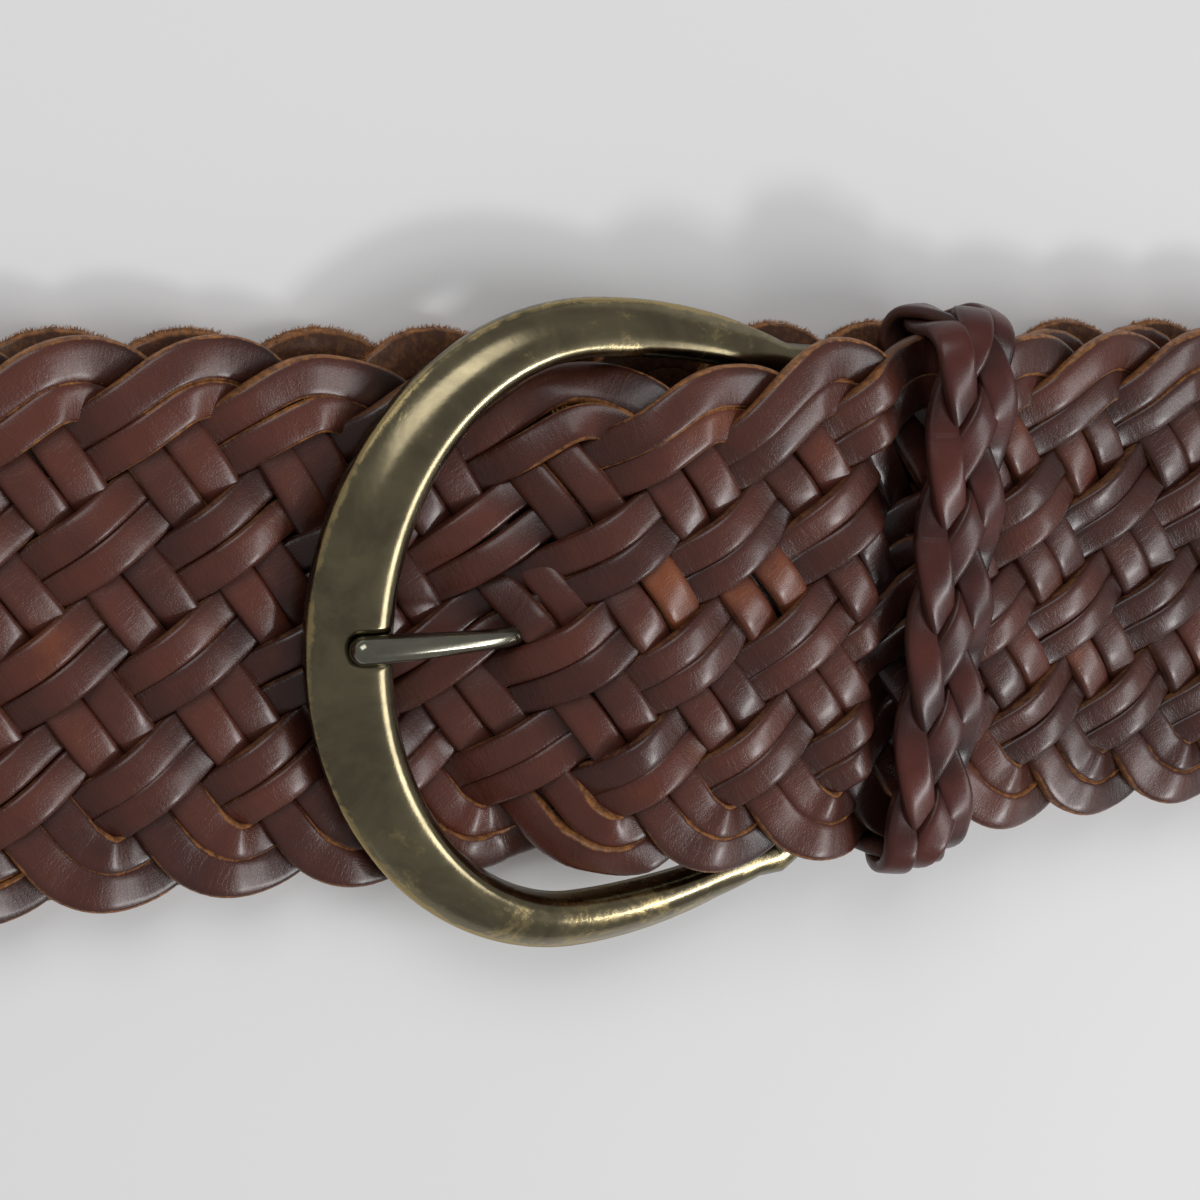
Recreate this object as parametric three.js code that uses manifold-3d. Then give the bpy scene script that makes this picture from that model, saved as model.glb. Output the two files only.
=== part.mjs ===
// Braided leather belt, fastened and lying flat, with a half-oval buckle. Millimetres, +Z up.
// X runs along the belt, Y across it, and the belt rests on z = 0.
import * as THREE from 'three';
import { mergeVertices } from 'three/addons/utils/BufferGeometryUtils.js';
import Module from 'manifold-3d';

const wasm = await Module();
wasm.setup();

// Strap
const strapWidth = 70.5;
const strapThickness = 4.4;
const edgeThickness = 3.2;
const strapCentreY = 3;
const lacePitch = 16.07;
const rowPitch = 15.48;
const rowShift = -5.33;
const laceRows = 8;
const patternStart = -62.71;
const topScallopStart = -67.09;
const bottomScallopStart = -62.3;
const scallopDepth = 2.2;
const reliefDepth = 0.55;
const layerGap = 0.3;

// Loop, seen from the side
const loopHalfLength = 198;
const bendRadius = 12;
const leftRampEnd = -112;
const rightRampStart = 146;
const tipEndX = 128;
const buckleEndStartX = 51;
const tipShareStart = -100;

// Buckle
const frameLeft = 38;
const frameHalfHeight = 44.1;
const frameRightAxis = 55;
const innerLeft = 27;
const innerHalfHeight = 36.6;
const innerRightAxis = 62;
const railEndX = 30;
const frameHeight = 6.2;
const railHeight = 5.4;
const barX = 37;
const barZ = 10.2;
const barRadius = 2;
const barHalfLength = 25;

// Eye of the strap round the bar
const eyeThickness = 2.4;
const eyeGap = 0.2;
const eyeWidth = 48;
const eyeCentreY = 0.5;
const eyeEndX = 60;
const slotWidth = 7;
const slotEndX = 46;

// Prong
const prongRadius = 1.9;
const prongTipX = -33.4;
const prongTipZ = 15.9;
const prongY = 0.8;
const ringInner = 2.35;
const ringOuter = 4.1;
const ringWidth = 5.4;
const notchClearance = 0.3;
const holeClearance = 0.45;

// Keeper
const keeperX = 51;
const keeperWidth = 16;
const keeperThickness = 2.5;
const keeperSlant = 1.2;
const keeperTopZ = 19.6;
const keeperTopSlope = -0.15;
const keeperPitch = 12.2;
const keeperCorner = 3.7;

const floorMid = strapThickness / 2;
const frontMid = floorMid + strapThickness + layerGap;
const overBarMid = barZ + barRadius + eyeGap + eyeThickness + layerGap + strapThickness / 2 - 0.1;
const keeperZoneMid = 14.3;
const buckleEndMid = 9.6;
const tipMid = frontMid + strapThickness + layerGap;
const leftSideMidZ = frontMid + strapThickness / 2 + 1.6 * layerGap + frameHeight / 2;

const clamp = (value, low, high) => Math.min(high, Math.max(low, value));
const mix = (a, b, t) => a + (b - a) * t;
function ease(from, to, x) {
  const t = clamp((x - from) / (to - from), 0, 1);
  return t * t * (3 - 2 * t);
}

// Side view of the hidden part of the loop: buckle end, right bend, floor run and left bend
function sidePath() {
  const points = [];
  const add = (x, z) => points.push([x, z]);
  const topOfBend = floorMid + 2 * bendRadius;
  for (let x = buckleEndStartX; x < 90; x += 2) {
    add(x, mix(buckleEndMid, frontMid, ease(60, 88, x)));
  }
  for (let x = 90; x < rightRampStart; x += 8) {
    add(x, frontMid);
  }
  for (let i = 0; i < 24; i++) {
    const x = mix(rightRampStart, loopHalfLength, i / 24);
    add(x, mix(frontMid, topOfBend, ease(rightRampStart, loopHalfLength, x)));
  }
  for (let i = 0; i <= 24; i++) {
    const angle = Math.PI / 2 - Math.PI * i / 24;
    add(loopHalfLength + bendRadius * Math.cos(angle), floorMid + bendRadius + bendRadius * Math.sin(angle));
  }
  for (let x = loopHalfLength - 12; x > -loopHalfLength + 6; x -= 12) {
    add(x, floorMid);
  }
  for (let i = 0; i <= 24; i++) {
    const angle = -Math.PI / 2 - Math.PI * i / 24;
    add(-loopHalfLength + bendRadius * Math.cos(angle), floorMid + bendRadius + bendRadius * Math.sin(angle));
  }
  for (let i = 1; i <= 24; i++) {
    const x = mix(-loopHalfLength, leftRampEnd, i / 24);
    add(x, mix(topOfBend, frontMid, ease(-loopHalfLength, leftRampEnd, x)));
  }
  add(tipShareStart, frontMid);
  return points;
}

const path = sidePath();
const reach = [0];
for (let i = 1; i < path.length; i++) {
  reach.push(reach[i - 1] + Math.hypot(path[i][0] - path[i - 1][0], path[i][1] - path[i - 1][1]));
}
// Distance along the strap reads as X on the front and counts back from there
const pathOffset = tipShareStart - reach[reach.length - 1];

function pathAt(u) {
  const s = clamp(u - pathOffset, 0, reach[reach.length - 1]);
  let i = 1;
  while (i < reach.length - 1 && reach[i] < s) {
    i++;
  }
  const t = (s - reach[i - 1]) / (reach[i] - reach[i - 1]);
  const slope = (j) => {
    const a = path[Math.max(0, j - 1)];
    const b = path[Math.min(path.length - 1, j + 1)];
    return Math.atan2(b[1] - a[1], b[0] - a[0]);
  };
  const a = slope(i - 1);
  let b = slope(i);
  while (b - a > Math.PI) {
    b -= 2 * Math.PI;
  }
  while (a - b > Math.PI) {
    b += 2 * Math.PI;
  }
  const angle = mix(a, b, t);
  return {
    x: mix(path[i - 1][0], path[i][0], t),
    z: mix(path[i - 1][1], path[i][1], t),
    nx: -Math.sin(angle),
    nz: Math.cos(angle),
  };
}

// Left inner edge of the frame at a given Y
function innerEdgeX(y) {
  const t = clamp(Math.abs(y) / innerHalfHeight, 0, 0.995);
  return -innerLeft * Math.sqrt(1 - t * t);
}

// Height of the middle of the front and tip layer: under the frame, up over the bar, down to the tip
function tipHeight(x, y) {
  const start = innerEdgeX(y) + 5.5;
  const end = Math.max(8, start + 18);
  let z = mix(frontMid, overBarMid, ease(start, end, x));
  z += (keeperZoneMid - overBarMid) * ease(barX, eyeEndX, x);
  return z + (tipMid - keeperZoneMid) * ease(eyeEndX, 88, x);
}

// The frame pinches the upper edge of the strap where the strap rises between the rails
function acrossY(x, v, front) {
  const pinch = front ? 3.6 * ease(-44, -28, x) * (1 - ease(16, 32, x)) : 0;
  const low = strapCentreY - strapWidth / 2;
  const share = (v + strapWidth / 2) / strapWidth;
  return low + share * (strapWidth - pinch);
}

function strapPoint(u, v, h) {
  if (u >= tipShareStart) {
    const y = acrossY(u, v, true);
    return [u, y, tipHeight(u, y) + h];
  }
  const p = pathAt(u);
  return [p.x + p.nx * h, acrossY(p.x, v, false), p.z + p.nz * h];
}

function geometryOf(vertices, triangles) {
  const geometry = new THREE.BufferGeometry();
  geometry.setAttribute('position', new THREE.Float32BufferAttribute(vertices.flat(), 3));
  geometry.setIndex(triangles.flat());
  return geometry;
}

// Skin over rings of equal length; the rings close on themselves or are capped with fans
function loft(rings, closed) {
  const vertices = rings.flat();
  const triangles = [];
  const n = rings[0].length;
  const count = closed ? rings.length : rings.length - 1;
  for (let i = 0; i < count; i++) {
    const a = i * n;
    const b = ((i + 1) % rings.length) * n;
    for (let j = 0; j < n; j++) {
      const k = (j + 1) % n;
      triangles.push([a + j, a + k, b + k], [a + j, b + k, b + j]);
    }
  }
  if (!closed) {
    for (const [start, flip] of [[0, true], [(rings.length - 1) * n, false]]) {
      const ring = vertices.slice(start, start + n);
      const middle = [0, 1, 2].map((axis) => ring.reduce((sum, p) => sum + p[axis], 0) / n);
      vertices.push(middle);
      const m = vertices.length - 1;
      for (let j = 0; j < n; j++) {
        const k = (j + 1) % n;
        triangles.push(flip ? [m, start + k, start + j] : [m, start + j, start + k]);
      }
    }
  }
  return outward(geometryOf(vertices, triangles));
}

function outward(geometry) {
  const p = geometry.attributes.position;
  const index = geometry.index.array;
  const a = new THREE.Vector3();
  const b = new THREE.Vector3();
  const c = new THREE.Vector3();
  let volume = 0;
  for (let i = 0; i < index.length; i += 3) {
    a.fromBufferAttribute(p, index[i]);
    b.fromBufferAttribute(p, index[i + 1]);
    c.fromBufferAttribute(p, index[i + 2]);
    volume += a.dot(b.cross(c));
  }
  if (volume < 0) {
    for (let i = 0; i < index.length; i += 3) {
      [index[i + 1], index[i + 2]] = [index[i + 2], index[i + 1]];
    }
  }
  return geometry;
}

function solid(geometry) {
  const g = geometry.clone();
  g.deleteAttribute('normal');
  g.deleteAttribute('uv');
  const merged = mergeVertices(g, 1e-5);
  return new wasm.Manifold(new wasm.Mesh({
    numProp: 3,
    vertProperties: new Float32Array(merged.attributes.position.array),
    triVerts: new Uint32Array(merged.index.array),
  }));
}

function fromSolid(body) {
  const mesh = body.getMesh();
  const geometry = new THREE.BufferGeometry();
  geometry.setAttribute('position', new THREE.Float32BufferAttribute(mesh.vertProperties, 3));
  geometry.setIndex(new THREE.Uint32BufferAttribute(mesh.triVerts, 1));
  return geometry;
}

function block(x0, x1, y0, y1, z0, z1) {
  const g = new THREE.BoxGeometry(x1 - x0, y1 - y0, z1 - z0);
  g.translate((x0 + x1) / 2, (y0 + y1) / 2, (z0 + z1) / 2);
  return solid(g);
}

// One lace row per line of vertices: crossings stand up, the corners between them sink in
function rowOf(row) {
  const v = ((laceRows - 1) / 2 - row) * rowPitch / 2;
  const start = patternStart + (row / 2 - 1) * rowShift - (row % 2 ? lacePitch / 2 : 0);
  return { v, start, rim: false };
}

// On the floor run the outer side stays flat, so that the belt rests on it
function reliefShare(u, outer) {
  const p = u < tipShareStart ? pathAt(u) : null;
  const onFloor = p && p.nz < -0.97 && p.z < floorMid + 0.5;
  return onFloor && outer ? 0 : 1;
}

// Rings across the strap, square at both ends and following the lattice between them
function bandRings() {
  const half = lacePitch / 2;
  const rows = [{ v: strapWidth / 2, start: topScallopStart, rim: true }];
  for (let row = 0; row < laceRows; row++) {
    rows.push(rowOf(row));
  }
  rows.push({ v: -strapWidth / 2, start: bottomScallopStart, rim: true });
  // half steps that bring each row straight under its neighbour
  const steps = rows.map((row) => Math.round((patternStart - row.start) / half));
  const ring = (places) => {
    const high = [];
    const low = [];
    rows.forEach((row, j) => {
      const { u, odd } = places(row, j);
      const relief = reliefShare(u, true);
      const thick = row.rim ? edgeThickness / 2 : strapThickness / 2;
      const sink = odd && !row.rim ? reliefDepth : 0;
      const inset = odd && row.rim ? scallopDepth : 0;
      const v = row.v - Math.sign(row.v) * inset;
      const top = row.rim && !relief ? strapThickness / 2 : thick - sink * relief;
      high.push(strapPoint(u, v, top));
      low.push(strapPoint(u, v, -thick + sink));
    });
    return high.concat(low.reverse());
  };
  const rings = [ring(() => ({ u: pathOffset, odd: false }))];
  const first = Math.floor((pathOffset - patternStart) / half);
  const last = Math.ceil((tipEndX - patternStart) / half);
  for (let i = first; i <= last; i++) {
    const us = rows.map((row, j) => row.start + (i + steps[j]) * half);
    if (Math.min(...us) > pathOffset + 0.5 && Math.max(...us) < tipEndX - 0.5) {
      rings.push(ring((row, j) => ({ u: us[j], odd: Math.abs(i + steps[j]) % 2 === 1 })));
    }
  }
  rings.push(ring(() => ({ u: tipEndX, odd: false })));
  return rings;
}

function eyeRings() {
  const centre = [];
  const lowZ = barZ - barRadius - eyeGap - eyeThickness / 2;
  const highZ = barZ + barRadius + eyeGap + eyeThickness / 2;
  const radius = barRadius + eyeGap + eyeThickness / 2;
  const endLow = buckleEndMid - strapThickness / 2 + eyeThickness / 2;
  const endHigh = buckleEndMid + strapThickness / 2 - eyeThickness / 2;
  for (let x = eyeEndX; x > barX; x -= 2.3) {
    centre.push([x, mix(lowZ, endLow, ease(barX + 0.6, 43.4, x)), 0, -1]);
  }
  for (let i = 0; i <= 14; i++) {
    const angle = -Math.PI / 2 - Math.PI * i / 14;
    const c = Math.cos(angle);
    const s = Math.sin(angle);
    centre.push([barX + radius * c, barZ + radius * s, c, s]);
  }
  for (let x = barX + 2.3; x <= eyeEndX + 0.01; x += 2.3) {
    centre.push([x, mix(highZ, endHigh, ease(barX, eyeEndX - 2, x)), 0, 1]);
  }
  return centre.map(([x, z, nx, nz]) => {
    const widen = ease(42, 56, x);
    const width = mix(eyeWidth, strapWidth - 8, widen);
    const y = mix(eyeCentreY, strapCentreY, widen);
    const h = eyeThickness / 2;
    return [
      [x + nx * h, y + width / 2, z + nz * h],
      [x + nx * h, y, z + nz * h],
      [x + nx * h, y - width / 2, z + nz * h],
      [x - nx * h, y - width / 2, z - nz * h],
      [x - nx * h, y, z - nz * h],
      [x - nx * h, y + width / 2, z - nz * h],
    ];
  });
}

function prongLine(t) {
  const x = mix(barX - 2.4, prongTipX, t);
  const z = mix(barZ + (ringInner + ringOuter) / 2 - 1.1, prongTipZ, ease(12, -30, x));
  return [x, prongY, z];
}

function rodRings(extra, from, to) {
  const rings = [];
  const steps = 16;
  for (let i = 0; i <= steps; i++) {
    const t = mix(from, to, i / steps);
    const [x, y, z] = prongLine(t);
    const tip = Math.max(0, x - prongTipX);
    const blunt = extra ? 1 : Math.sqrt(clamp(tip / 2.2 + 0.12, 0, 1));
    rings.push(circle(x, y, z, (prongRadius + extra) * blunt));
  }
  return rings;
}

function circle(x, y, z, r) {
  const points = [];
  for (let j = 0; j < 14; j++) {
    const angle = 2 * Math.PI * j / 14;
    points.push([x, y + r * Math.cos(angle), z + r * Math.sin(angle)]);
  }
  return points;
}

function ringRings() {
  const rings = [];
  for (let i = 0; i < 28; i++) {
    const angle = 2 * Math.PI * i / 28;
    const at = (r, y) => [barX + r * Math.cos(angle), prongY + y, barZ + r * Math.sin(angle)];
    const w = ringWidth / 2;
    rings.push([at(ringInner, -w), at(ringOuter - 0.4, -w), at(ringOuter, -w + 0.5), at(ringOuter, w - 0.5),
      at(ringOuter - 0.4, w), at(ringInner, w)]);
  }
  return rings;
}

// Stations round the frame: outer point, inner point, mid height, height, roundness
function frameStations() {
  const stations = [];
  const height = (x) => mix(leftSideMidZ, barZ, ease(-6, barX - 1, x));
  const rail = (angle) => {
    const c = Math.cos(angle);
    const s = Math.sin(angle);
    const right = c > 0;
    const outer = [c * (right ? frameRightAxis : frameLeft), s * frameHalfHeight];
    const inner = [c * (right ? innerRightAxis : innerLeft), s * innerHalfHeight];
    const x = (outer[0] + inner[0]) / 2;
    const tall = mix(mix(frameHeight, railHeight, ease(-30, 0, x)), 2 * barRadius, ease(8, 34, x));
    return { outer, inner, z: height(x), tall, round: ease(20, 33, x) };
  };
  const endAngle = Math.acos(railEndX / ((frameRightAxis + innerRightAxis) / 2));
  for (let i = 0; i <= 52; i++) {
    stations.push(rail(mix(endAngle, 2 * Math.PI - endAngle, i / 52)));
  }
  const corner = (t, side) => {
    const end = rail(endAngle);
    const railMid = [(end.outer[0] + end.inner[0]) / 2, (end.outer[1] + end.inner[1]) / 2];
    const c = [railMid, [railMid[0] + 4, railMid[1] - 1.2], [barX, barHalfLength + 5.5], [barX, barHalfLength]];
    const k = [(1 - t) ** 3, 3 * t * (1 - t) ** 2, 3 * t * t * (1 - t), t ** 3];
    const d = [-3 * (1 - t) ** 2, 3 * (1 - t) ** 2 - 6 * t * (1 - t), 6 * t * (1 - t) - 3 * t * t, 3 * t * t];
    const sum = (w, axis) => w.reduce((total, weight, j) => total + weight * c[j][axis], 0);
    const tangent = [sum(d, 0), sum(d, 1)];
    const size = Math.hypot(tangent[0], tangent[1]);
    const normal = [-tangent[1] / size, tangent[0] / size];
    const endWidth = Math.hypot(end.outer[0] - end.inner[0], end.outer[1] - end.inner[1]);
    const w = mix(endWidth, 2 * barRadius, Math.min(1, t * 1.6)) / 2;
    const x = sum(k, 0);
    const y = sum(k, 1);
    return {
      outer: [x + normal[0] * w, side * (y + normal[1] * w)],
      inner: [x - normal[0] * w, side * (y - normal[1] * w)],
      z: height(x),
      tall: mix(end.tall, 2 * barRadius, t),
      round: mix(end.round, 1, t),
    };
  };
  for (let i = 1; i <= 6; i++) {
    stations.push(corner(i / 6, -1));
  }
  for (let i = 1; i < 6; i++) {
    const y = mix(-barHalfLength, barHalfLength, i / 6);
    stations.push({ outer: [barX + barRadius, y], inner: [barX - barRadius, y], z: barZ,
      tall: 2 * barRadius, round: 1 });
  }
  for (let i = 6; i >= 1; i--) {
    stations.push(corner(i / 6, 1));
  }
  return stations;
}

function frameRings() {
  // share of the width from the inner edge, share of the height from the middle
  const dome = [[0.08, -0.5], [0, -0.34], [0, 0.08], [0.08, 0.3], [0.26, 0.45], [0.48, 0.5], [0.68, 0.42],
    [0.86, 0.2], [0.97, -0.06], [1, -0.3], [0.93, -0.5]];
  return frameStations().map((station) => dome.map(([q, g], j) => {
    const angle = -Math.PI * 0.59 - 2 * Math.PI * j / dome.length;
    const across = mix(q, 0.5 + 0.5 * Math.cos(angle), station.round);
    const up = mix(g, 0.5 * Math.sin(angle), station.round);
    return [
      mix(station.inner[0], station.outer[0], across),
      mix(station.inner[1], station.outer[1], across),
      station.z + up * station.tall,
    ];
  }));
}

// Keeper: rounded oblong round the two layers, with edges that wave with the braid
function keeperRings() {
  const half = strapWidth / 2 + 3 * layerGap + keeperThickness / 2;
  const low = keeperThickness / 2 + strapThickness + 0.2;
  const size = [2 * half, keeperTopZ - low];
  const straight = [size[0] - 2 * keeperCorner, size[1] - 2 * keeperCorner];
  const arc = Math.PI * keeperCorner / 2;
  const total = 2 * (straight[0] + straight[1]) + 4 * arc;
  const turns = Math.round(total / keeperPitch);
  const steps = turns * 5;
  const at = (distance) => {
    let rest = distance;
    let direction = 0;
    let corner = [keeperCorner - half, low];
    for (let side = 0; side < 4; side++) {
      const run = straight[side % 2];
      const dx = Math.cos(direction);
      const dz = Math.sin(direction);
      if (rest <= run) {
        return [corner[0] + dx * rest, corner[1] + dz * rest, dz, -dx];
      }
      rest -= run;
      const centre = [corner[0] + dx * run - dz * keeperCorner, corner[1] + dz * run + dx * keeperCorner];
      if (rest <= arc) {
        const angle = direction - Math.PI / 2 + rest / keeperCorner;
        return [centre[0] + keeperCorner * Math.cos(angle), centre[1] + keeperCorner * Math.sin(angle),
          Math.cos(angle), Math.sin(angle)];
      }
      rest -= arc;
      direction += Math.PI / 2;
      const nextX = Math.cos(direction);
      const nextZ = Math.sin(direction);
      corner = [centre[0] + nextZ * keeperCorner, centre[1] - nextX * keeperCorner];
    }
    return [keeperCorner - half, low, 0, -1];
  };
  const rings = [];
  for (let i = 0; i < steps; i++) {
    const [y, z, ny, nz] = at(total * i / steps);
    const phase = 2 * Math.PI * i / 5;
    const share = (z - low) / size[1];
    const middleX = keeperX + keeperSlant * y / half;
    const place = (x, h) => [x, strapCentreY + y + ny * h, z + nz * h + share * keeperTopSlope * (x - keeperX)];
    const wave = (shift) => 0.5 + 0.5 * Math.cos(phase + shift);
    const left = keeperWidth / 2 - 0.9 * wave(0);
    const right = keeperWidth / 2 - 0.9 * wave(Math.PI);
    const out = keeperThickness / 2;
    rings.push([
      place(middleX - left, -out + 0.5),
      place(middleX - left, out - 0.7),
      place(middleX - left * 0.55, out - 0.35 * wave(2)),
      place(middleX, out - 0.35 * wave(4)),
      place(middleX + right * 0.55, out - 0.35 * wave(1)),
      place(middleX + right, out - 0.7),
      place(middleX + right, -out + 0.5),
      place(middleX + right * 0.6, -out),
      place(middleX - left * 0.6, -out),
    ]);
  }
  return rings;
}

function strapSolid() {
  const slot = block(barX - 8, slotEndX, prongY - slotWidth / 2, prongY + slotWidth / 2, 4.9, 14.98);
  const eye = solid(loft(eyeRings(), false)).subtract(slot);
  const hole = solid(loft(rodRings(holeClearance, 0.28, 1.06), false));
  return solid(loft(bandRings(), false)).add(eye).subtract(hole);
}

function frameSolid() {
  const ring = solid(loft(frameRings(), true));
  return ring.subtract(solid(loft(rodRings(notchClearance, 0.7, 1.04), false)));
}

function mesh(name, geometry, colour, roughness, metalness) {
  const result = new THREE.Mesh(geometry, new THREE.MeshStandardMaterial({ color: colour, roughness, metalness }));
  result.name = name;
  return result;
}

const prongBody = solid(loft(rodRings(0, 0, 1), false)).add(solid(loft(ringRings(), true)));

const belt = new THREE.Group();
belt.name = 'braided_belt';
belt.add(mesh('strap', fromSolid(strapSolid()), '#5a2f2c', 0.55, 0));
belt.add(mesh('buckle_frame', fromSolid(frameSolid()), '#8b7a4a', 0.38, 1));
belt.add(mesh('prong', fromSolid(prongBody), '#94835a', 0.35, 1));
belt.add(mesh('keeper', loft(keeperRings(), true), '#4c2624', 0.45, 0));

export default belt;
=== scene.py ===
import math

import bpy
import numpy as np
from mathutils import Matrix, Vector


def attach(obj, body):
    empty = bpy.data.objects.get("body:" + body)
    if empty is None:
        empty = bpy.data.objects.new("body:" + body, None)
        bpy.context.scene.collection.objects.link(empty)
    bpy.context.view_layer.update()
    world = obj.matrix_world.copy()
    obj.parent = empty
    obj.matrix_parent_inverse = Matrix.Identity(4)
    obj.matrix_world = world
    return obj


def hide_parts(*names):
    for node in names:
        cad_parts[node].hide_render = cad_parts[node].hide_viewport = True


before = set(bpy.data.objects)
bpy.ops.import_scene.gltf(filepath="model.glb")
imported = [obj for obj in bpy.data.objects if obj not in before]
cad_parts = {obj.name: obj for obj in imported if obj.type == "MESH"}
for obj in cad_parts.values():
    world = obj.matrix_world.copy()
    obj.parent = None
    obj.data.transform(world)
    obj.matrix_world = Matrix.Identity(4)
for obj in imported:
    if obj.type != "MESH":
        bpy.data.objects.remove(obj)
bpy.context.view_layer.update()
mm = 0.001
print("frame loaded")

# camera, at the photo's angle and distance
cameraSetup = {
    "place": (-0.10566, 0.06912, 0.26149),
    "looksAlong": (0.3850, -0.2317, -0.8934),
    "up": (0.0574, 0.9721, -0.2273),
    "lens": 63.56,  # for a 36 mm sensor
}


def addObject(name, data):
    thing = bpy.data.objects.new(name, data)
    bpy.context.collection.objects.link(thing)
    return thing


def paint(mesh, name, values):  # a value or a direction for every point
    values = np.asarray(values, np.float32)
    kind, field = ("FLOAT_VECTOR", "vector") if values.ndim == 2 else ("FLOAT", "value")
    mesh.attributes.new(name, kind, "POINT").data.foreach_set(field, values.ravel())


def blankMaterial(name):
    material = bpy.data.materials.new(name)
    material.use_nodes = True
    return material, material.node_tree, material.node_tree.nodes["Principled BSDF"]


def placeCamera(setup):
    back = -Vector(setup["looksAlong"]).normalized()
    right = Vector(setup["up"]).cross(back).normalized()
    up = back.cross(right)
    data = bpy.data.cameras.new("camera")
    data.lens = setup["lens"]
    data.clip_start = 0.01
    camera = addObject("camera", data)
    turn = Matrix((right, up, back)).transposed().to_4x4()
    camera.matrix_world = Matrix.Translation(setup["place"]) @ turn
    bpy.context.scene.camera = camera


placeCamera(cameraSetup)

# floor and light: a white table, a soft light from the right, a fill and a strip for the metal
studio = {
    "floorSize": 6.0,
    "floorDrop": 0.0002,  # keeps the table clear of the lowest laces
    "floorColour": (0.80, 0.80, 0.805),
    "worldColour": (1.0, 1.0, 1.0),
    "worldStrength": 0.325,
    "keyPlace": (1.3, -0.3, 1.25),
    "keySize": (0.8, 0.5),
    "keyPower": 8.0,
    "fillPlace": (-0.7, 1.3, 1.35),
    "fillSize": (1.4, 1.0),
    "fillPower": 14.0,
    "stripPlace": (1.2, -1.0, 1.3),
    "stripSize": (0.45, 0.2),
    "stripPower": 11.0,
    "lightsAim": (0.02, 0.0, 0.01),
}


def buildStudio(setup):
    size = setup["floorSize"] / 2
    mesh = bpy.data.meshes.new("floor")
    corners = [(-size, -size, 0), (size, -size, 0), (size, size, 0), (-size, size, 0)]
    mesh.from_pydata(corners, [], [(0, 1, 2, 3)])
    floor = addObject("floor", mesh)
    floor.location.z = -setup["floorDrop"]
    material, tree, shader = blankMaterial("white table")
    shader.inputs["Base Color"].default_value = (*setup["floorColour"], 1)
    shader.inputs["Roughness"].default_value = 0.6
    mesh.materials.append(material)
    world = bpy.data.worlds.new("studio")
    world.use_nodes = True
    sky = world.node_tree.nodes["Background"]
    sky.inputs["Color"].default_value = (*setup["worldColour"], 1)
    sky.inputs["Strength"].default_value = setup["worldStrength"]
    bpy.context.scene.world = world
    for name in ("key", "fill", "strip"):
        lamp = bpy.data.lights.new(name, "AREA")
        lamp.shape = "RECTANGLE"
        lamp.size, lamp.size_y = setup[name + "Size"]
        lamp.energy = setup[name + "Power"]
        light = addObject(name, lamp)
        place = Vector(setup[name + "Place"])
        aim = Vector(setup["lightsAim"]) - place
        light.matrix_world = Matrix.Translation(place) @ aim.to_track_quat("-Z", "Y").to_matrix().to_4x4()
    bpy.context.scene.view_settings.view_transform = "Standard"


buildStudio(studio)
print("studio and camera set")

# the strap's sizes, in mm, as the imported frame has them
strap = {
    "width": 70.5,
    "thickness": 4.4,
    "centreY": 3.0,
    "lacePitch": 16.07,
    "rowPitch": 15.48,
    "rowShift": -5.33,
    "rows": 8,
    "patternStart": -62.71,
    "layerGap": 0.3,
    "pinch": 3.6,  # the strap is drawn in a little inside the frame
    "pinchStart": (-44, -28),
    "pinchEnd": (16, 32),
    "loopHalfLength": 198.0,
    "bendRadius": 12.0,
    "leftRampEnd": -112.0,
    "rightRampStart": 146.0,
    "tipEnd": 128.0,
    "buckleEndStart": 57.0,
    "tipShareStart": -100.0,
    "buckleEndMid": 9.6,
    "buckleEndFalls": (60, 88),
    "keeperZoneMid": 14.3,
    "tipSettles": 88,
    "riseAfter": 5.5,  # from the frame's inner edge to where the strap starts to climb
    "riseLength": 18,
    "riseEndLeast": 8,
    "frontSplit": -86.0,
    "keeperGap": 43.8,
    "gapDepth": 2.4,  # the laces are pressed down left of the keeper
    "gapHalf": 4.0,
    "floorCalm": 0.8,  # most a lace stands out on the floor run
    "laceWidth": 4.7,
    "laceThickness": 2.0,
    "swingUp": (1.95, 1.2),  # rise and dive of the laces that run up to the right
    "swingDown": (0.85, 0.85),
    "downScale": 1.1,
    "turnScale": 1.14,  # the outer lace of each turn is pulled wide
    "turnRadius": 9.0,
    "fineStep": 1.15,
    "coarseStep": 2.7,
    "seed": 7,
}
buckle = {
    "left": 38.0,
    "halfHeight": 44.1,
    "rightAxis": 55.0,
    "innerLeft": 27.0,
    "innerHalfHeight": 36.6,
    "innerRightAxis": 62.0,
    "railEnd": 30.0,
    "height": 6.2,
    "railHeight": 5.4,
    "barX": 37.0,
    "barZ": 10.2,
    "barRadius": 2.0,
    "barHalfLength": 25.0,
    "notchClearance": 0.25,
}
prong = {
    "radius": 1.9,
    "thin": 1.35,  # radius under the braid
    "thinning": (-13, -30),
    "tipX": -33.4,
    "tipZ": 15.9,
    "y": 0.8,
    "seat": 1.1,  # how far the rod sinks into its ring
    "climb": (12, -30),
    "hideX": -9.7,
    "dip": 3.6,  # the rod hangs lower where the braid covers it
    "dipX": -4,
    "dipHalf": 6,
    "ringInner": 2.35,
    "ringOuter": 4.1,
    "ringWidth": 5.4,
}
hole = {"push": 1.95, "squeeze": 0.5, "rise": 1.7, "spread": 8.0, "pairX": -9.1, "pairY": 6.87}
eye = {"thickness": 2.4, "gap": 0.2, "width": 48.0, "centreY": 0.5, "end": 60.0, "laces": 10, "slot": 7.0}

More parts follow.
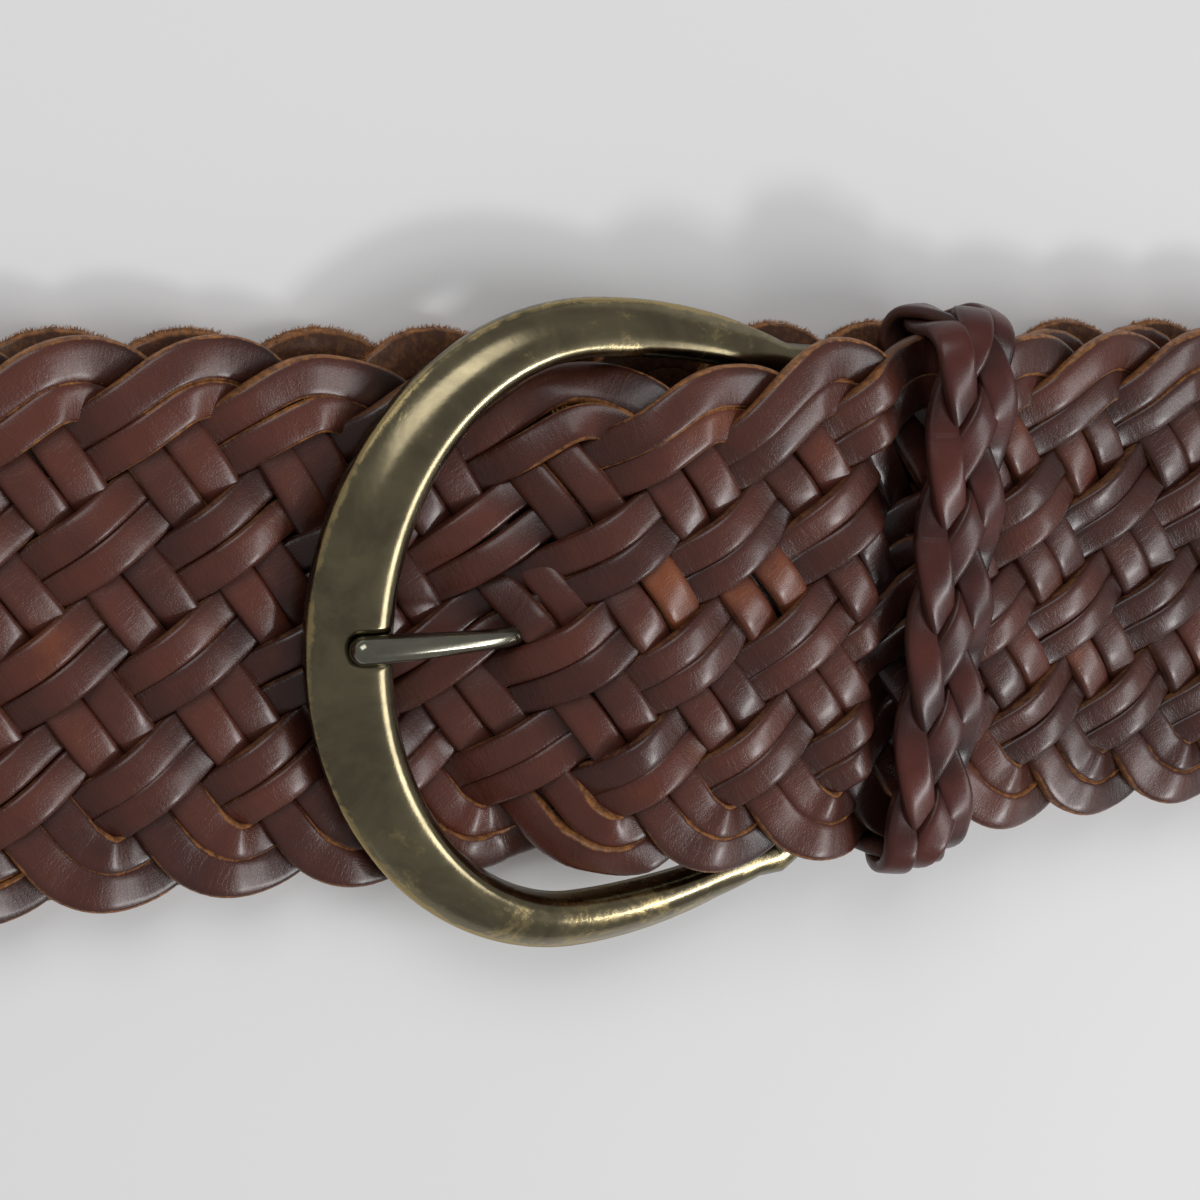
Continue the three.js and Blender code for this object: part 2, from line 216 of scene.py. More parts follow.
floorMid = strap["thickness"] / 2
frontMid = floorMid + strap["thickness"] + strap["layerGap"]
overBarMid = (buckle["barZ"] + buckle["barRadius"] + eye["gap"] + eye["thickness"] + strap["layerGap"]
              + strap["thickness"] / 2 - 0.1)
tipMid = frontMid + strap["thickness"] + strap["layerGap"]
leftSideMid = frontMid + strap["thickness"] / 2 + 1.6 * strap["layerGap"] + buckle["height"] / 2


def mix(a, b, t):
    return a + (b - a) * t


def ease(start, end, x):
    t = np.clip((x - start) / (end - start), 0, 1)
    return t * t * (3 - 2 * t)


def alongLine(points):  # distance from the first point to each
    return np.concatenate([[0], np.cumsum(np.linalg.norm(np.diff(points, axis=0), axis=1))])


def prongHeight(x):
    low = buckle["barZ"] + (prong["ringInner"] + prong["ringOuter"]) / 2 - prong["seat"]
    hang = prong["dip"] * np.exp(-((x - prong["dipX"]) / prong["dipHalf"]) ** 2)
    return mix(low, prong["tipZ"], ease(*prong["climb"], x)) - hang


def bendPoints(centre, start):  # half turn of the strap at one end of the loop
    a = start - np.pi * np.linspace(0, 1, 50)
    r = strap["bendRadius"]
    return np.stack([centre + r * np.cos(a), floorMid + r * (1 + np.sin(a))], 1)


def sidePath():  # middle line of the hidden run: buckle end, right bend, floor, left bend
    top = floorMid + 2 * strap["bendRadius"]
    half = strap["loopHalfLength"]
    x1 = np.arange(strap["buckleEndStart"], strap["rightRampStart"], 1.5)
    run = [np.stack([x1, mix(strap["buckleEndMid"], frontMid, ease(*strap["buckleEndFalls"], x1))], 1)]
    x2 = np.linspace(strap["rightRampStart"], half, 40, endpoint=False)
    run.append(np.stack([x2, mix(frontMid, top, ease(strap["rightRampStart"], half, x2))], 1))
    run.append(bendPoints(half, np.pi / 2))
    x3 = np.arange(half - 3, -half, -3)
    run.append(np.stack([x3, np.full_like(x3, floorMid)], 1))
    run.append(bendPoints(-half, -np.pi / 2))
    x4 = np.linspace(-half, strap["leftRampEnd"], 60)[1:]
    run.append(np.stack([x4, mix(top, frontMid, ease(-half, strap["leftRampEnd"], x4))], 1))
    run.append(np.array([[strap["tipShareStart"], frontMid]]))
    return np.concatenate(run)


path = sidePath()
reach = alongLine(path)
pathStart = strap["tipShareStart"] - reach[-1]  # distance along the strap reads as X on the front
pathSlope = np.unwrap(np.arctan2(np.gradient(path[:, 1]), np.gradient(path[:, 0])))


def innerEdge(y):
    t = np.clip(np.abs(y) / buckle["innerHalfHeight"], 0, 0.995)
    return -buckle["innerLeft"] * np.sqrt(1 - t * t)


def tipHeight(x, y):
    start = innerEdge(y) + strap["riseAfter"]
    end = np.maximum(strap["riseEndLeast"], start + strap["riseLength"])
    z = mix(frontMid, overBarMid, ease(start, end, x))
    z = z + (strap["keeperZoneMid"] - overBarMid) * ease(buckle["barX"], eye["end"], x)
    return z + (tipMid - strap["keeperZoneMid"]) * ease(eye["end"], strap["tipSettles"], x)


def strapPoint(u, v, h):  # place on the strap: u along it, v across it, h out of its middle
    u, v, h = np.broadcast_arrays(np.asarray(u, float), v, h)
    share = (v + strap["width"] / 2) / strap["width"]
    low = strap["centreY"] - strap["width"] / 2
    pinch = strap["pinch"] * ease(*strap["pinchStart"], u) * (1 - ease(*strap["pinchEnd"], u))
    front = u >= strap["tipShareStart"]
    y = low + share * (strap["width"] - np.where(front, pinch, 0))
    s = np.clip(u - pathStart, 0, reach[-1])
    slope = np.interp(s, reach, pathSlope)
    x = np.where(front, u, np.interp(s, reach, path[:, 0]) - np.sin(slope) * h)
    z = np.where(front, tipHeight(u, y) + h, np.interp(s, reach, path[:, 1]) + np.cos(slope) * h)
    return np.stack([x, y, z], -1)


def strapNormal(u, v):
    along = strapPoint(u + 0.4, v, 0) - strapPoint(u - 0.4, v, 0)
    across = strapPoint(u, v + 0.4, 0) - strapPoint(u, v - 0.4, 0)
    normal = np.cross(along, across)
    return normal / np.linalg.norm(normal, axis=-1, keepdims=True)


legs = strap["rows"] + 1  # crossings from edge to edge, and pairs of laces
stepUp = np.array([(strap["lacePitch"] - strap["rowShift"]) / 2, strap["rowPitch"] / 2])
stepDown = np.array([(strap["lacePitch"] + strap["rowShift"]) / 2, -strap["rowPitch"] / 2])


def pairLine(spacing):  # a pair's middle line from a lower turn to the next, as rows of u, v, du, dv, step
    half = legs * strap["rowPitch"] / 4
    lengthUp, lengthDown = np.linalg.norm(stepUp), np.linalg.norm(stepDown)
    dirUp, dirDown = stepUp / lengthUp, stepDown / lengthDown
    turn = math.acos(float(dirUp @ dirDown))
    cut = strap["turnRadius"] * math.tan(turn / 2)
    low, high = np.array([0.0, -half]), np.array([0.0, -half]) + legs * stepUp
    rows = []

    def straight(start, direction, length, stepLength, offset):
        count = max(2, int(round(length / spacing)))
        for i in range(count):
            d = length * i / count
            p = start + direction * d
            rows.append((*p, *direction, offset + (cut + d) / stepLength))

    def bend(start, direction, sign, stepFrom, stepTo):
        count = max(4, int(round(strap["turnRadius"] * turn / (spacing * 0.8))))
        normal = sign * np.array([direction[1], -direction[0]])
        centre = start + normal * strap["turnRadius"]
        for i in range(count):
            angle = -sign * turn * i / count
            c, s = math.cos(angle), math.sin(angle)
            spoke = start - centre
            p = centre + np.array([spoke[0] * c - spoke[1] * s, spoke[0] * s + spoke[1] * c])
            d = np.array([direction[0] * c - direction[1] * s, direction[0] * s + direction[1] * c])
            rows.append((*p, *d, mix(stepFrom, stepTo, i / count)))

    straight(low + dirUp * cut, dirUp, legs * lengthUp - 2 * cut, lengthUp, 0)
    bend(high - dirUp * cut, dirUp, 1, legs - cut / lengthUp, legs + cut / lengthDown)
    straight(high + dirDown * cut, dirDown, legs * lengthDown - 2 * cut, lengthDown, legs)
    bend(high + legs * stepDown - dirDown * cut, dirDown, -1,
         2 * legs - cut / lengthDown, 2 * legs + cut / lengthUp)
    return np.array(rows)


def crossingHeight(step):  # 1 where the pair lies over, -1 where it dives
    step = np.mod(step, 2 * legs)
    local = np.where(step < legs, step, step - legs)
    past = np.where(local >= legs - 1, local - (legs - 1), local + 1)  # from 0 to 2 round a turn
    nearTurn = (local > legs - 1) | (local < 1)
    overTurn = np.cos(np.pi * np.clip((past - 0.45) / 1.55, 0, 1))
    return np.where(nearTurn, overTurn, np.cos(np.pi * local))


def laceScale(step):  # laces that run down to the right lie a little wider
    local = np.mod(step, 2 * legs)
    down = ease(legs - 0.7, legs + 0.7, local) * (1 - ease(2 * legs - 0.7, 2 * legs, local))
    return mix(1.0, strap["downScale"], down)


def turnShare(step):  # 1 at a turn, 0 from two crossings away
    local = np.mod(step, legs)
    return 1 - ease(0.2, 1.9, np.minimum(local, legs - local))


def isOuter(step, side):  # whether the lace is the outer one of its pair at the nearest turn
    top = np.abs(np.mod(step, 2 * legs) - legs) < legs / 2
    return top == (side > 0)


def laceHeight(step):  # over the strap's middle
    over = crossingHeight(step)
    down = (laceScale(step) - 1) / (strap["downScale"] - 1)
    rise = mix(strap["swingUp"][0], strap["swingDown"][0], down)
    dive = mix(strap["swingUp"][1], strap["swingDown"][1], down)
    return np.where(over > 0, over * rise, over * dive)


def wander(step, seed, size):  # slow random drift along a lace
    rng = np.random.default_rng(seed)
    phase = rng.uniform(0, 2 * np.pi, 4)
    rate = rng.uniform(0.5, 2.4, 4)
    return size * sum(np.sin(rate[k] * step + phase[k]) for k in range(4)) / 2


def strapLaces(start, end, spacing, seed):  # middle lines of all laces between two distances
    base = pairLine(spacing)
    period = legs * strap["lacePitch"]
    firstUp = strap["patternStart"] + strap["rowShift"] * 2.5 - strap["lacePitch"] / 2 - stepUp[0]
    laces = []
    for pair in range(legs):
        origin = firstUp + pair * strap["lacePitch"]
        low = math.floor((start - origin) / period) - 1
        high = math.ceil((end - origin) / period) + 1
        line = np.concatenate([base + np.array([origin + k * period, 0, 0, 0, 2 * legs * k])
                               for k in range(low, high)])
        for side in (-1, 1):
            lace = pair * 2 + (side > 0)
            drift = wander(line[:, 4], seed + 31 * lace, 0.16)
            away = side * strap["laceWidth"] * 0.5 * laceScale(line[:, 4]) + drift
            u = line[:, 0] - line[:, 3] * away
            v = line[:, 1] + line[:, 2] * away
            keep = (u > start) & (u < end)
            bounds = np.flatnonzero(np.diff(np.concatenate([[0], keep.astype(int), [0]])))
            for a, b in bounds.reshape(-1, 2):
                if b - a > 3:
                    laces.append({"u": u[a:b], "v": v[a:b], "dv": line[a:b, 3], "step": line[a:b, 4],
                                  "side": side, "lace": lace})
    return laces


# section of a cut lace: shares of half its thickness and width, and 0 grain, 1 cut edge, 2 flesh
fineHalf = [(1.0, 0.0, 0), (0.975, 0.45, 0), (0.90, 0.74, 0), (0.74, 0.90, 0.3), (0.45, 0.985, 0.8),
            (-0.2, 1.0, 1), (-0.80, 0.97, 1), (-1.0, 0.84, 2)]
coarseHalf = [(1.0, 0.0, 0), (0.90, 0.76, 0), (0.5, 0.98, 0.7), (-0.75, 0.97, 1), (-1.0, 0.8, 2)]


def sectionObject(name, piece, outline):
    w, t = piece["laceWidth"] / 2, piece["laceThickness"] / 2
    points = [(x * t, y * w, m) for x, y, m in outline]
    points += [(x * t, -y * w, m) for x, y, m in reversed(outline) if y > 0]
    mesh = bpy.data.meshes.new(name)
    n = len(points)
    mesh.from_pydata([(x * mm, y * mm, 0) for x, y, m in points], [(i, (i + 1) % n) for i in range(n)], [])
    paint(mesh, "across", [y for x, y, m in points])
    paint(mesh, "part", [m for x, y, m in points])
    return addObject(name, mesh)


def nodeMaker(tree):
    def make(kind, **settings):
        node = tree.nodes.new(kind)
        for key, value in settings.items():
            if key in node.inputs:
                node.inputs[key].default_value = value
            else:
                setattr(node, key, value)
        return node
    return make


def treeWith(name, *sockets):  # an empty geometry tree with named inputs
    tree = bpy.data.node_groups.new(name, "GeometryNodeTree")
    for label, kind in (("Geometry", "Geometry"), *sockets):
        tree.interface.new_socket(label, in_out="INPUT", socket_type="NodeSocket" + kind)
    tree.interface.new_socket("Geometry", in_out="OUTPUT", socket_type="NodeSocketGeometry")

    def join(source, out, target, into):
        tree.links.new(source.outputs[out], target.inputs[into])

    def finish(source, out):  # realized, and in its material
        real, dress = make("GeometryNodeRealizeInstances"), make("GeometryNodeSetMaterial")
        join(source, out, real, "Geometry")
        join(real, "Geometry", dress, "Geometry")
        join(given, "Material", dress, "Material")
        join(dress, "Geometry", make("NodeGroupOutput"), "Geometry")

    make = nodeMaker(tree)
    given = make("NodeGroupInput")
    return tree, make, join, finish, given


def laceTree():  # sweeps the section along every line of the mesh, standing on the line's own normal
    tree, make, join, finish, given = treeWith(
        "sweep laces", ("Section", "Object"), ("Size", "Float"), ("Material", "Material"))
    lines, outline = make("GeometryNodeMeshToCurve"), make("GeometryNodeMeshToCurve")
    section = make("GeometryNodeObjectInfo")
    stand = make("GeometryNodeSetCurveNormal", mode="FREE")
    normal = make("GeometryNodeInputNamedAttribute", data_type="FLOAT_VECTOR", Name="laceNormal")
    scale = make("GeometryNodeInputNamedAttribute", data_type="FLOAT", Name="laceScale")
    times = make("ShaderNodeMath", operation="MULTIPLY")
    sweep = make("GeometryNodeCurveToMesh")
    sweep.inputs["Fill Caps"].default_value = True
    smooth = make("GeometryNodeSetShadeSmooth")
    join(given, "Geometry", lines, "Mesh")
    join(lines, "Curve", stand, "Curve")
    join(normal, "Attribute", stand, "Normal")
    join(given, "Section", section, "Object")
    join(section, "Geometry", outline, "Mesh")
    join(stand, "Curve", sweep, "Curve")
    join(outline, "Curve", sweep, "Profile Curve")
    join(scale, "Attribute", times, 0)
    join(given, "Size", times, 1)
    join(times, 0, sweep, "Scale")
    join(sweep, "Mesh", smooth, "Geometry")
    finish(smooth, "Geometry")
    return tree


def socketId(tree, name):
    return next(s.identifier for s in tree.interface.items_tree if s.name == name and s.in_out == "INPUT")


def grownPiece(name, mesh, tree, values):  # runs the tree on the mesh and keeps the result as a plain piece
    carrier = addObject(name + " carrier", mesh)
    modifier = carrier.modifiers.new("grow", "NODES")
    modifier.node_group = tree
    for label, value in values.items():
        modifier[socketId(tree, label)] = value
    graph = bpy.context.evaluated_depsgraph_get()
    grown = bpy.data.meshes.new_from_object(carrier.evaluated_get(graph))
    carrier.modifiers.remove(modifier)
    bpy.data.objects.remove(carrier)
    grown.name = name
    return addObject(name, grown)


def sweptLaces(name, lines, section, material, tree):
    points = np.concatenate([line["points"] for line in lines])
    edges = []
    start = 0
    for line in lines:
        n = len(line["points"])
        edges.append(np.stack([np.arange(start, start + n - 1), np.arange(start + 1, start + n)], 1))
        if line.get("closed"):
            edges.append(np.array([[start + n - 1, start]]))
        start += n
    mesh = bpy.data.meshes.new(name + " lines")
    mesh.from_pydata((points * mm).tolist(), np.concatenate(edges).tolist(), [])
    labels = {"normals": "laceNormal", "along": "along", "tone": "tone", "scale": "laceScale",
              "rise": "rise", "bare": "bare", "shade": "shade"}
    for key, label in labels.items():
        paint(mesh, label, np.concatenate([line[key] for line in lines]))
    return grownPiece(name, mesh, tree, {"Section": section, "Size": 1.0, "Material": material})


def finishPiece(piece, slot, *nodes):
    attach(piece, "root")
    if nodes:
        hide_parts(*nodes)
    print(piece.name, sum(len(p.vertices) - 2 for p in piece.data.polygons), "triangles")


def nodeKit(tree):  # the small nodes that both shader groups are made of
    make, link = nodeMaker(tree), tree.links.new

    def maths(operation, *values):
        node = make("ShaderNodeMath", operation=operation)
        for i, value in enumerate(values):
            if hasattr(value, "is_output"):
                link(value, node.inputs[i])
            else:
                node.inputs[i].default_value = value
        return node.outputs[0]

    def ramp(value, low, high, toLow=0.0, toHigh=1.0):
        node = make("ShaderNodeMapRange")
        for label, number in (("From Min", low), ("From Max", high), ("To Min", toLow), ("To Max", toHigh)):
            node.inputs[label].default_value = number
        link(value, node.inputs["Value"])
        return node.outputs[0]

    def blend(factor, a, b):
        node = make("ShaderNodeMix", data_type="RGBA")
        link(factor, node.inputs[0])
        link(a, node.inputs["A"])
        link(b, node.inputs["B"])
        return node.outputs["Result"]

    def dimmed(colour, level):
        grey = make("ShaderNodeCombineXYZ")
        for axis in "XYZ":
            link(level, grey.inputs[axis])
        node = make("ShaderNodeMix", data_type="RGBA", blend_type="MULTIPLY")
        node.inputs[0].default_value = 1.0
        link(colour, node.inputs["A"])
        link(grey.outputs[0], node.inputs["B"])
        return node.outputs["Result"]

    def noise(scale, detail, rough, vector, twist=0.0):
        node = make("ShaderNodeTexNoise", Scale=scale, Detail=detail, Roughness=rough, Distortion=twist)
        link(vector, node.inputs["Vector"])
        return node.outputs["Fac"]

    def painted(name):
        return make("ShaderNodeAttribute", attribute_name=name).outputs["Fac"]

    return make, link, maths, ramp, blend, dimmed, noise, painted


def groupWith(name, inputs):  # a shader group with named inputs that gives colour, roughness and height
    tree = bpy.data.node_groups.new(name, "ShaderNodeTree")
    for label, value in inputs.items():
        kind = "NodeSocketFloat" if isinstance(value, float) else "NodeSocketColor"
        socket = tree.interface.new_socket(label, in_out="INPUT", socket_type=kind)
        socket.default_value = value if isinstance(value, float) else (*value, 1)
    for label, kind in (("Color", "Color"), ("Roughness", "Float"), ("Height", "Float")):
        tree.interface.new_socket(label, in_out="OUTPUT", socket_type="NodeSocket" + kind)
    return tree, tree.nodes.new("NodeGroupInput").outputs, tree.nodes.new("NodeGroupOutput").inputs


def leatherGroup():  # grain, creases, dye mottling, the raw cut edge of a lace, and painted shade and shadow
    tree, given, result = groupWith("lace leather", {
        "Dark": (0.05, 0.015, 0.013), "Red": (0.14, 0.04, 0.03), "Warm": (0.3, 0.09, 0.03),
        "Raw": (0.36, 0.18, 0.08), "Flesh": (0.06, 0.025, 0.012), "Grain": 2300.0, "Crease": 1.0})
    make, link, maths, ramp, blend, dimmed, noise, painted = nodeKit(tree)
    place = make("ShaderNodeTexCoord").outputs["Object"]
    part, tone, along, across = (painted(name) for name in ("part", "tone", "along", "across"))
    rise, bare, paintedShadow = (painted(name) for name in ("rise", "bare", "shade"))
    strip = make("ShaderNodeCombineXYZ")
    for value, axis in ((along, "X"), (across, "Y"), (tone, "Z")):
        link(value, strip.inputs[axis])
    # dye: each float has its own tone, with slow mottling over the belt
    mottle = noise(110.0, 4.0, 0.6, place)
    shade = maths("ADD", tone, maths("MULTIPLY_ADD", mottle, 1.0, -0.5))
    dyeAndShade = blend(ramp(shade, 0.05, 0.65), given["Dark"], given["Red"])
    dyeAndShade = blend(ramp(shade, 0.72, 1.1, 0.0, 0.85), dyeAndShade, given["Warm"])
    # painted shade where the lace dives, darker dye along its edges, and painted shadow where the shade
    # attribute is set
    border = ramp(maths("ABSOLUTE", across), 1.3, 2.5, 1.0, 0.72)
    shadeDown = maths("MULTIPLY", ramp(rise, -0.9, 0.6, 0.3, 1.0), border)
    shadeDown = maths("MULTIPLY", shadeDown, ramp(paintedShadow, 0.0, 1.0, 1.0, 0.1))
    dyeAndShade = dimmed(dyeAndShade, shadeDown)
    # grain cells, pores and soft creases across the lace
    grain = make("ShaderNodeTexVoronoi", feature="DISTANCE_TO_EDGE")
    link(place, grain.inputs["Vector"])
    link(given["Grain"], grain.inputs["Scale"])
    cells = ramp(grain.outputs["Distance"], 0.0, 0.22)
    fine = noise(1500.0, 4.0, 0.65, place)
    wide = noise(260.0, 3.0, 0.5, place)
    stretch = make("ShaderNodeMapping")
    stretch.inputs["Scale"].default_value = (1.1, 0.32, 3.0)
    link(strip.outputs[0], stretch.inputs["Vector"])
    crease = ramp(noise(1.0, 3.0, 0.55, stretch.outputs[0], 0.8), 0.45, 0.62)
    crease = maths("MULTIPLY", crease, given["Crease"])
    relief = maths("MULTIPLY_ADD", cells, 0.16, maths("MULTIPLY", fine, 0.3))
    relief = maths("ADD", relief, maths("MULTIPLY_ADD", wide, 0.7, maths("MULTIPLY", crease, 0.28)))
    # cut edges and flesh side
    fibre = noise(900.0, 4.0, 0.75, place)
    patch = noise(150.0, 2.0, 0.5, place)
    rawLevel = maths("ADD", part, maths("MULTIPLY_ADD", fibre, 0.7, maths("MULTIPLY_ADD", patch, 1.6, -1.05)))
    atTurn = maths("MULTIPLY", maths("MULTIPLY", bare, 0.5), ramp(part, 0.05, 0.3))
    between = maths("MULTIPLY", ramp(bare, 0.0, 0.5, -0.22, 0.0), ramp(part, 1.6, 1.2))
    rawLevel = maths("ADD", maths("ADD", rawLevel, atTurn), between)
    raw = ramp(rawLevel, 0.62, 0.9)
    edgeLight = maths("MULTIPLY", ramp(fibre, 0.3, 0.75), ramp(bare, 0.0, 0.6, 0.4, 1.0))
    # painted shadow also dims the pale raw edges
    edgeLight = maths("MULTIPLY", edgeLight, ramp(paintedShadow, 0.0, 1.0, 1.0, 0.0))
    edgeColour = blend(edgeLight, given["Flesh"], given["Raw"])
    back = ramp(part, 1.3, 1.9)
    backColour = blend(ramp(fibre, 0.45, 0.85, 0.0, 0.4), given["Flesh"], given["Raw"])
    rawColour = blend(back, edgeColour, backColour)
    colour = blend(raw, dyeAndShade, rawColour)
    rough = make("ShaderNodeMix", data_type="FLOAT")
    rough.inputs["B"].default_value = 0.92
    link(raw, rough.inputs[0])
    link(ramp(fine, 0.2, 0.8, 0.28, 0.44), rough.inputs["A"])
    link(colour, result["Color"])
    link(rough.outputs[0], result["Roughness"])
    link(relief, result["Height"])
    return tree


leather = leatherGroup()


def newMaterial(name, group, values, bump, depth):  # the group's look on a Principled BSDF, with its bump
    material, tree, shader = blankMaterial(name)
    make, link = nodeMaker(tree), tree.links.new
    look = make("ShaderNodeGroup", node_tree=group)
    for label, value in values.items():
        look.inputs[label].default_value = value if isinstance(value, float) else (*value, 1)
    bumps = make("ShaderNodeBump", Strength=bump, Distance=depth)
    link(look.outputs["Color"], shader.inputs["Base Color"])
    link(look.outputs["Roughness"], shader.inputs["Roughness"])
    link(look.outputs["Height"], bumps.inputs["Height"])
    link(bumps.outputs["Normal"], shader.inputs["Normal"])
    return material, shader


def leatherMaterial(name, values, bump, coat, shine):
    material, shader = newMaterial(name, leather, values, bump, 0.00022)
    shader.inputs["Coat Weight"].default_value = coat
    shader.inputs["Coat Roughness"].default_value = 0.25
    shader.inputs["Specular IOR Level"].default_value = shine
    return material


strapLook = {"Dark": (0.052, 0.0145, 0.0105), "Red": (0.105, 0.0275, 0.0165), "Warm": (0.24, 0.066, 0.02),
             "Raw": (0.42, 0.17, 0.05), "Flesh": (0.06, 0.023, 0.011), "Grain": 2300.0, "Crease": 1.0}
keeperLook = {"Dark": (0.044, 0.0115, 0.010), "Red": (0.10, 0.022, 0.0155), "Warm": (0.15, 0.04, 0.022),
              "Raw": (0.11, 0.036, 0.02), "Flesh": (0.04, 0.014, 0.009), "Grain": 2600.0, "Crease": 0.5}
strapLeather = leatherMaterial("braided strap leather", strapLook, 0.45, 0.42, 0.25)
keeperLeather = leatherMaterial("keeper leather", keeperLook, 0.3, 0.32, 0.2)
sweepTree = laceTree()
fineSection = sectionObject("fine lace section", strap, fineHalf)
coarseSection = sectionObject("coarse lace section", strap, coarseHalf)


def clearOfProng(points, over, falling):  # laces lie under the prong up to its hole, and tent over it beyond
    x, y, z = points.T
    offLine = x - hole["pairX"] - (hole["pairY"] - y) * stepDown[0] / -stepDown[1]
    window = ease(-6, -0.5, y) * (1 - ease(9, 15, y))
    aimed = falling * np.exp(-(offLine / 6.5) ** 4) * window  # the pair that the prong pushes aside
    x = x + aimed * (hole["push"] - hole["squeeze"] * np.clip(offLine / 3, -1, 1))
    spread = hole["spread"]
    z = z + hole["rise"] * np.exp(-((x + 3) / spread) ** 2 - ((y - prong["y"]) / spread) ** 2)
    middle = prongHeight(x)
    aside = np.abs(y - prong["y"])
    fall = np.exp(-(aside / 3.3) ** 2)
    half = strap["laceThickness"] / 2 + 0.1
    lift = np.maximum(0, middle + (prong["thin"] + half) * fall + 0.9 * (over + 1) - z)
    press = np.maximum(0, z - middle + (prong["radius"] + half) * fall + 0.5 * (1 - over))
    lift, press = lift * (1 - ease(1.8, 8.5, aside)), press * (1 - ease(2.2, 6, aside))
    covers = ease(prong["hideX"] - 0.8, prong["hideX"] + 1.8, x)
    change = np.where((x > prong["tipX"] - 3) & (x < 14), covers * lift - (1 - covers) * press, 0)
    window = np.hanning(9)
    change = np.convolve(change, window / window.sum(), "same") if len(change) > 9 else change
    return np.stack([x, y, z + change], 1), 1 - 0.1 * aimed


def strapLines(start, end, spacing, seed):
    lines = []
    for lace in strapLaces(start, end, spacing, seed):
        key = seed + 17 * lace["lace"]
        u, v, step = lace["u"], lace["v"], lace["step"]
        falling, turn = lace["dv"] < 0, turnShare(step)
        h = laceHeight(step) + wander(step, key + 3, 0.08)
        calm = ease(floorMid + 4.2, floorMid + 1, strapPoint(u, v, 0)[:, 2])
        h = mix(h, np.clip(h, -strap["floorCalm"], strap["floorCalm"]), calm)
        points, narrow = clearOfProng(strapPoint(u, v, h), crossingHeight(step), falling)
        dip = np.exp(-((points[:, 0] - strap["keeperGap"]) / strap["gapHalf"]) ** 4)
        dip = dip * (u > 0) * (points[:, 2] > tipMid)
        points[:, 2] -= strap["gapDepth"] * dip
        # painted shadow beside the keeper and under the buckle's left rim
        ring = np.hypot(points[:, 0] / buckle["left"], points[:, 1] / buckle["halfHeight"])
        under = np.exp(-((ring - 0.97) / 0.1) ** 2) * (u < 0) * (u > -70)
        shade = np.clip(0.92 * dip + 0.8 * under, 0, 1)
        normals = strapNormal(u, v)
        forward = np.gradient(points, axis=0)
        forward /= np.linalg.norm(forward, axis=1, keepdims=True)
        right = np.cross(forward, normals)
        roll = np.radians(wander(step, key + 5, 7.0))[:, None]
        normals = normals * np.cos(roll) + right * np.sin(roll)
        # each float takes its own tone, and a few near the tip are pale
        leg = np.floor((step - 1) / legs)
        cell = np.minimum(np.floor((step - leg * legs) / 2 + 0.5), strap["rows"] / 2) + 7.3 * leg
        chance = np.mod(np.sin(cell * 12.9898 + lace["lace"] * 78.233) * 43758.5453, 1)
        warm = 0.34 * (chance > 0.84) * falling * (u > 2) * (turn < 0.2)
        # the tone falls towards the right end as painted shade
        tone = 0.2 + 0.44 * chance + warm + wander(step, key + 9, 0.1) - 0.34 * ease(30, 110, u)
        outer = isOuter(step, lace["side"])
        scale = laceScale(step) * (1 + wander(step, key + 11, 0.03))
        scale = scale * (1 + (strap["turnScale"] - 1) * turn * outer) * narrow
        lines.append({"points": points, "normals": normals, "along": alongLine(points), "tone": tone,
                      "bare": turn, "rise": crossingHeight(step), "shade": shade, "scale": scale,
                      "v": v, "outer": outer})
        if end < strap["tipEnd"]:  # the last of the rear laces are tucked into the front ones
            lines[-1]["scale"] = scale * (1 - 0.05 * (u > strap["frontSplit"] - 3))
    return lines


frontLines = strapLines(strap["frontSplit"], strap["tipEnd"], strap["fineStep"], strap["seed"])
rearLines = strapLines(pathStart, strap["frontSplit"] + 4, strap["coarseStep"], strap["seed"])
front = sweptLaces("strap_front_laces", frontLines, fineSection, strapLeather, sweepTree)
rear = sweptLaces("strap_rear_laces", rearLines, coarseSection, strapLeather, sweepTree)
finishPiece(front, "strap_leather", "strap")
finishPiece(rear, "strap_leather", "strap")
print("strap braided")


# loose fibres on the raw rims
fuzz = {
    "perMm": 20,
    "length": 0.5,
    "thickness": 0.05,
    "tipShare": 0.25,
    "sizeRange": (0.35, 1.3),
    "leanLeast": (-0.9, -0.9, -0.1),
    "leanMost": (0.9, 0.9, 0.9),
    "from": -135.0,
    "to": 150.0,
    "seed": 5,
}


